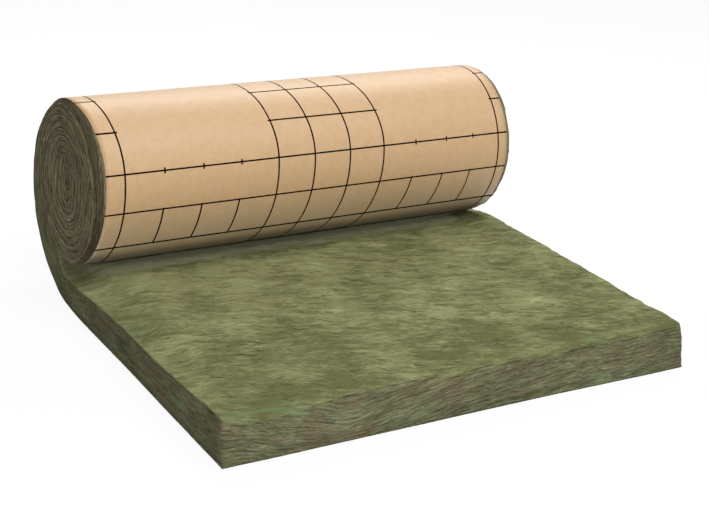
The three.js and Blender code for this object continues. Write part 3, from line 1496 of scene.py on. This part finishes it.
        # The painted light and shade lies unevenly, more of it between the streaks than on them.
        uneven = add("MapRange", (grain["streak"], 0.3, 0.7, 0.3, -0.3))
        grain["settled"] = add("Math", (grain["painted_shading"], uneven), operation="ADD")
        depth = add("SeparateXYZ", (course,), output="Y")
        swaying = add("Math", (grain["sway"], self.ply_sway, depth), operation="MULTIPLY_ADD")
        grain["from_ply"] = add("Math", (swaying, self.ply / 2), operation="PINGPONG")
        for name in ("layer", "split"):
            off_line = add("Math", (grain[name], 0.5), operation="SUBTRACT")
            grain[f"from_{name}"] = add("Math", (off_line,), operation="ABSOLUTE")
        on_felt = add("MapRange", (grain["mottle"], 0.48, 0.64, 0.0, 0.6))
        on_cut = add("MapRange", (grain["mottle"], 0.40, 0.60, 0.4, 0.7))
        grain["parted"] = add("Mix", (grain["cut"], on_felt, on_cut))
        grain["crease"] = self._crease_shade_mask(add, grain)

    def _sum(
        self, add: Adder, grain: Patterns, weights: tuple[tuple[str, float], ...], start: float | Socket
    ) -> Socket:
        """Add a share of each named pattern to a start value.

        Args:
            add: Adds a node to the material.
            grain: The patterns.
            weights: Name and share of each.
            start: The start value.

        Returns:
            The sum.
        """
        total = start
        for name, weight in weights:
            total = add("Math", (grain[name], weight, total), operation="MULTIPLY_ADD")
        return total

    def _tone(self, add: Adder, grain: Patterns, weights: tuple[tuple[str, float], ...]) -> Socket:
        """Add patterns up to one tone around 0.5."""
        return self._sum(add, grain, weights, 0.5 - sum(weight for name, weight in weights if name != "worn") / 2)

    def _product(self, add: Adder, grain: Patterns, factors: tuple[tuple[str | float, ...], ...]) -> Socket:
        """Multiply patterns together.

        Args:
            add: Adds a node to the material.
            grain: The patterns.
            factors: Name of each pattern, alone or with the span of its values and the span that they become.

        Returns:
            The product.
        """
        parts = [add("MapRange", (grain[name], *spans)) if spans else grain[name] for name, *spans in factors]
        return fold(add, "MULTIPLY", parts)

    def _green_share(self, add: Adder, grain: Patterns) -> Socket:
        """Share of green fibres: faint on the felt, in patches on the cut faces, most along the edges.

        Args:
            add: Adds a node to the material.
            grain: The patterns.

        Returns:
            The share, from 0 to 1.
        """
        everywhere = (("tint", 0.55, 0.72, 0.0, 0.45), ("cut", 0.0, 1.0, 0.35, 1.0), ("wound", 0.0, 1.0, 1.0, 0.35))
        along_edges = (("tint", 0.50, 0.66, 0.0, 0.38), ("rim",))
        return fold(add, "MAXIMUM", [self._product(add, grain, factors) for factors in (everywhere, along_edges)])

    def _crease_shade_mask(self, add: Adder, grain: Patterns) -> Socket:
        """Paint thin dark lines of painted shade in creases: in patches on the felt, between the layers of a cut face,
        and along every seam.

        Args:
            add: Adds a node to the material.
            grain: The patterns.

        Returns:
            How much painted shade of creases the surface has, from 0 to 1.
        """
        shaded_gaps = (
            # Painted shade in long partings and short splits.
            (("from_layer", 0.012, 0.060, 0.75, 0.0), ("parted",)),
            (("from_split", 0.010, 0.050, 0.6, 0.0), ("parted",)),
            # Painted shade in the gaps between the plies of a cut face, plainest where it is wound.
            (
                ("wound", 0.0, 1.0, 0.8, 1.0),
                ("cut",),
                ("streak", 0.40, 0.60, 0.85, 0.25),
                ("from_ply", 0.0004, 0.0015, 1.0, 0.0),
            ),
            # Painted shadow under the lip of the felt that hangs over the free end.
            (("cut", 0.25, 0.5, 0.0, 1.0), ("cut", 0.55, 0.9, 0.8, 0.0), ("streak", 0.42, 0.60, 1.0, 0.2)),
            # Painted shade in the seams between the wound turns.
            (("streak", 0.38, 0.62, 1.0, 0.35), ("wound",), ("turn", 0.15, 0.6, 1.0, 0.0)),
        )
        return fold(add, "MAXIMUM", [self._product(add, grain, factors) for factors in shaded_gaps])


@dataclass(frozen=True)
class KraftFinish:
    """Unbleached kraft paper, calendered smooth, with a cutting grid printed in thin dark brown lines.

    Attributes:
        paper: The deep, middle and pale tone of the paper.
        tone_places: Places of those tones.
        ink: The print.
        pulp: Size of the clouds in the sheet, in metres.
        fibre: Width and length of its fibres, drawn as coarse as they need to show.
        pitch: Distance between grid lines, in metres.
        line: Width of a printed line, in metres.
        first_row: Distance of a full row from the crown, down the front.
        block: Distance from one block of rows to the next, in pitches.
        overshoot: How far a line runs past the one that ends it, in metres.
        spreading: Stretch over which the ink has spread where the paper is drawn down onto the blanket.
        spread_line: Half a spread line's width, over the width of one that hasn't spread.
        shading_paints: A paler tone painted low on the paper as painted light, then painted shadow near the nip:
            the stretch over which each comes up, by distance from the crown, its full share and its colour.
    """

    paper: tuple[str, str, str] = ("#C5A177", "#C9A67D", "#CDAA82")
    tone_places: tuple[float, float, float] = (0.36, 0.5, 0.64)
    ink: str = "#150B06"
    pulp: float = 0.02
    fibre: tuple[float, float] = (0.003, 0.02)
    pitch: float = 0.1
    line: float = 0.0043
    first_row: float = 0.2450
    block: int = 5
    overshoot: float = 0.006
    spreading: tuple[float, float] = (0.36, 0.44)
    spread_line: float = 0.8
    shading_paints: tuple[tuple[float, float, float, str], ...] = (
        (0.340, 0.460, 0.35, "#CFC8BA"),
        (0.447, 0.503, 0.62, "#34342C"),
    )

    def make(self, width: float) -> bpy.types.Material:
        """Build the material.

        Args:
            width: Width of the sheet, in metres.

        Returns:
            The paper's material, with its print.
        """
        material = bpy.data.materials.new("kraft_paper")
        add = partial(add_node, clear_nodes(material))
        sheet = add("UVMap", uv_map="Print")
        place = add("TexCoord", output="Object")
        pulp = add("TexNoise", {"Vector": place, "Scale": 1 / self.pulp, "Detail": 4.0, "Roughness": 0.6})
        drawn_out = add("Mapping", {"Vector": sheet, "Scale": (1 / self.fibre[0], 1 / self.fibre[1], 1)})
        fibre = add("TexNoise", {"Vector": drawn_out, "Scale": 1.0, "Detail": 3.0})
        tone = add("Mix", (0.35, pulp, fibre))
        base = add("ValToRGB", (tone,))
        set_stops(base, self.tone_places, self.paper)
        down = add("SeparateXYZ", (sheet,), output="Y")
        printed = self._print_mask(add, sheet, width)
        # Painted light low on the paper, then painted shadow where it runs into the nip.
        layers = [(add("MapRange", (down, start, end, 0.0, share)), code) for start, end, share, code in self.shading_paints]
        for share, code in (*layers, (printed, self.ink)):
            base = add("Mix", (share, base, srgb(code)), data_type="RGBA")
        bump = add("Bump", {"Height": tone, "Strength": 0.15, "Distance": 0.6 * MM})
        # The glazed paper has a soft sheen, and the ink on it is dull.
        rough, gloss = (add("Mix", (printed, bare, inked)) for bare, inked in ((0.48, 0.9), (0.5, 0.0)))
        surface = {"Base Color": base, "Roughness": rough, "IOR": 1.5, "Specular IOR Level": gloss, "Normal": bump}
        add("OutputMaterial", (add("BsdfPrincipled", surface),))
        return material

    def _print_mask(self, add: Adder, sheet: Socket, width: float) -> Socket:
        """Draw the cutting grid.

        Three bands of columns run the whole length: one at each edge and one in the middle. Between them
        the columns show only as ticks on the first row of a block and as short lines between its second
        and third rows. A block has three full rows and two that cross only the three bands.

        Args:
            add: Adds a node to the material.
            sheet: Metres across and along the paper.
            width: Width of the sheet.

        Returns:
            1 where there is ink and 0 elsewhere.
        """
        pitch, half, past = self.pitch, self.pitch / 2, self.overshoot
        split = add("SeparateXYZ", (sheet,)).node.outputs
        across = add("Math", (split["X"], half), operation="SUBTRACT")
        to_column = add("Math", (across, half), operation="PINGPONG")
        centred = add("Math", (split["X"], width / 2), operation="SUBTRACT")
        off_centre = add("Math", (centred,), operation="ABSOLUTE")
        down = add("Math", (split["Y"], self.first_row), operation="SUBTRACT")
        to_row = add("Math", (down, half), operation="PINGPONG")
        shifted = add("Math", (down, half), operation="ADD")
        wrapped = add("Math", (shifted, self.block * pitch, 0.0), operation="WRAP")
        in_block = add("Math", (wrapped, half), operation="SUBTRACT")
        spread = add("MapRange", (split["Y"], *self.spreading, self.line / 2, self.spread_line * self.line))
        # For each kind of line: the line itself, then the parts of the sheet where it is drawn. Every one of
        # them is a distance with a centre and its reach round that.
        columns = (
            (to_column, 0, self.line / 2),
            (off_centre, 0, 2 * pitch),
            (off_centre, width / 2, pitch),
            (in_block, 0, 1.2 * past),
            (in_block, 1.5 * pitch, half + past / 2),
        )
        rows = (
            (to_row, 0, spread),
            (in_block, pitch, 1.5 * pitch),
            (off_centre, 0, 1.5 * pitch + past),
            (off_centre, width / 2, half + past),
        )
        drawn = []
        for bands in (columns, rows):
            line, *parts = (add("Math", band, operation="COMPARE") for band in bands)
            drawn.append(fold(add, "MULTIPLY", (line, fold(add, "MAXIMUM", parts))))
        return fold(add, "MAXIMUM", drawn)


@dataclass(frozen=True)
class Lamp:
    """One flat lamp.

    Attributes:
        name: Its name.
        at: Its position.
        target: The point that it faces.
        size: Its width and height, in metres.
        power: Its power in watts.
    """

    name: str
    at: tuple[float, float, float]
    target: tuple[float, float, float]
    size: tuple[float, float]
    power: float

    def hang(self) -> None:
        """Hang it up and turn it to its target."""
        data = bpy.data.lights.new(self.name, "AREA")
        data.shape = "RECTANGLE"
        data.size, data.size_y = self.size
        data.energy = self.power
        lamp = bpy.data.objects.new(self.name, data)
        lamp.location = self.at
        lamp.rotation_euler = (Vector(self.target) - Vector(self.at)).to_track_quat("-Z", "Y").to_euler()
        bpy.context.collection.objects.link(lamp)


@dataclass(frozen=True)
class Studio:
    """Pale floor, soft light and the camera.

    Attributes:
        winding: The blanket's section, for its place.
        camera_at: Camera position from the front left corner of the blanket on the floor, in metres.
        heading: Degrees from +Y towards +X that the camera looks.
        pitch: Degrees that it looks down.
        roll: Degrees that it is turned about its view.
        lens: Focal length, in millimetres.
        sensor: Width of the sensor, in millimetres.
        lamps: A large soft key lamp before the blanket and two smaller ones, behind it and low before it.
        floor_tint: Colour of the light that the floor throws back.
        floor_glow: How far the floor that is seen is washed out, which leaves a faint shadow.
        room_light: Strength of the light from all round.
    """

    winding: Winding
    camera_at: tuple[float, float, float] = (-1.0046, -2.1452, 1.3613)
    heading: float = 30.969
    pitch: float = 20.932
    roll: float = 3.099
    lens: float = 68.488
    sensor: float = 36
    lamps: tuple[Lamp, ...] = (
        Lamp("key", (0.9, -3.6, 6.4), (0, 0, 0.1), (4.2, 4.2), 320),
        Lamp("back", (1.5, 2.7, 3.0), (0, 0, 0.4), (3.2, 1.1), 85),
        Lamp("fill", (-1.6, -4.0, 1.5), (0, 0, 0.2), (2.0, 2.0), 58),
    )
    floor_tint: str = "#C6C6C4"
    floor_glow: float = 0.92
    room_light: float = 0.3

    def build(self) -> None:
        """Set up everything that isn't the object."""
        self._camera()
        self._floor()
        self._room()
        for lamp in self.lamps:
            lamp.hang()
        bpy.context.scene.view_settings.view_transform = "Standard"

    def _camera(self) -> None:
        """Place the camera."""
        heading, pitch, roll = (math.radians(a) for a in (self.heading, self.pitch, self.roll))
        ahead = Vector((math.sin(heading) * math.cos(pitch), math.cos(heading) * math.cos(pitch), -math.sin(pitch)))
        right = Vector((math.cos(heading), -math.sin(heading), 0))
        up = right.cross(ahead)
        turned_right = right * math.cos(roll) + up * math.sin(roll)
        turned_up = up * math.cos(roll) - right * math.sin(roll)
        data = bpy.data.cameras.new("camera")
        data.lens = self.lens
        data.sensor_width = self.sensor
        data.sensor_fit = "HORIZONTAL"
        data.clip_end = 50
        camera = bpy.data.objects.new("camera", data)
        axes = Matrix((turned_right, turned_up, -ahead)).transposed().to_4x4()
        corner = Vector((self.winding.left, self.winding.free_end, 0))
        camera.matrix_world = Matrix.Translation(corner + Vector(self.camera_at)) @ axes
        bpy.context.collection.objects.link(camera)
        bpy.context.scene.camera = camera

    def _floor(self) -> None:
        """Lay a white floor that keeps a faint shadow."""
        mesh = bmesh.new()
        bmesh.ops.create_grid(mesh, x_segments=1, y_segments=1, size=20)
        floor = finish_mesh(mesh, "studio_floor", smooth=False)
        material = bpy.data.materials.new("studio_floor")
        add = partial(add_node, clear_nodes(material))
        direct = self._direct(add)
        share = add("Math", (direct, self.floor_glow), operation="MULTIPLY")
        colour = add("Mix", (direct, srgb(self.floor_tint), srgb(WHITE)), data_type="RGBA")
        paint = add("BsdfDiffuse", {"Color": colour})
        glow = add("Emission", {"Color": srgb(WHITE), "Strength": 1.0})
        add("OutputMaterial", (add("MixShader", (share, paint, glow)),))
        floor.data.materials.append(material)

    def _room(self) -> None:
        """Light the room from all round, and show it white."""
        world = bpy.data.worlds.new("studio")
        add = partial(add_node, clear_nodes(world))
        strength = add("MapRange", (self._direct(add), 0.0, 1.0, self.room_light, 1.0))
        add("OutputWorld", (add("Background", {"Color": srgb(WHITE), "Strength": strength}),))
        bpy.context.scene.world = world

    def _direct(self, add: Adder) -> Socket:
        """Give 1 to what the camera sees, straight or in a gloss, and 0 to light on its way."""
        seen = add("LightPath").node.outputs
        return add("Math", (seen["Is Camera Ray"], seen["Is Glossy Ray"]), operation="MAXIMUM")


def finish_mesh(mesh: bmesh.types.BMesh, name: str, smooth: bool) -> bpy.types.Object:
    """Turn a bmesh into an object at the origin.

    Args:
        mesh: The finished bmesh, which is freed.
        name: Name of the object and of its mesh.
        smooth: Whether its faces are shaded smooth.

    Returns:
        The new object.
    """
    for face in mesh.faces:
        face.smooth = smooth
    data = bpy.data.meshes.new(name)
    mesh.to_mesh(data)
    mesh.free()
    piece = bpy.data.objects.new(name, data)
    bpy.context.collection.objects.link(piece)
    return piece


def main() -> None:
    """Build the blanket, dress it and set up the studio."""
    # Without a seed, noise_vector is offset by the time of day and the turns would lie differently each run.
    noise.seed_set(NOISE_SEED)
    winding = Winding.from_frame()
    blanket = WoolBlanket(winding)
    wool = blanket.build()
    wool.data.materials.append(WoolFinish().make())
    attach(wool, "root")
    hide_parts(Node.WOOL.value)
    LOG.info("%s: %d faces", wool.name, len(wool.data.polygons))
    strands = LooseFibres(wool, blanket).build()
    strands.data.materials.append(wool.data.materials[0])
    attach(strands, "root")
    LOG.info("%s: %d faces", strands.name, len(strands.data.polygons))
    paper = KraftSheet(winding).build()
    paper.data.materials.append(KraftFinish().make(winding.width))
    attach(paper, "root")
    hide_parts(Node.PAPER.value)
    LOG.info("%s: %d faces", paper.name, len(paper.data.polygons))
    Studio(winding).build()


if __name__ == "__main__":
    logging.basicConfig(level=logging.INFO, stream=sys.stdout)
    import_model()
    main()
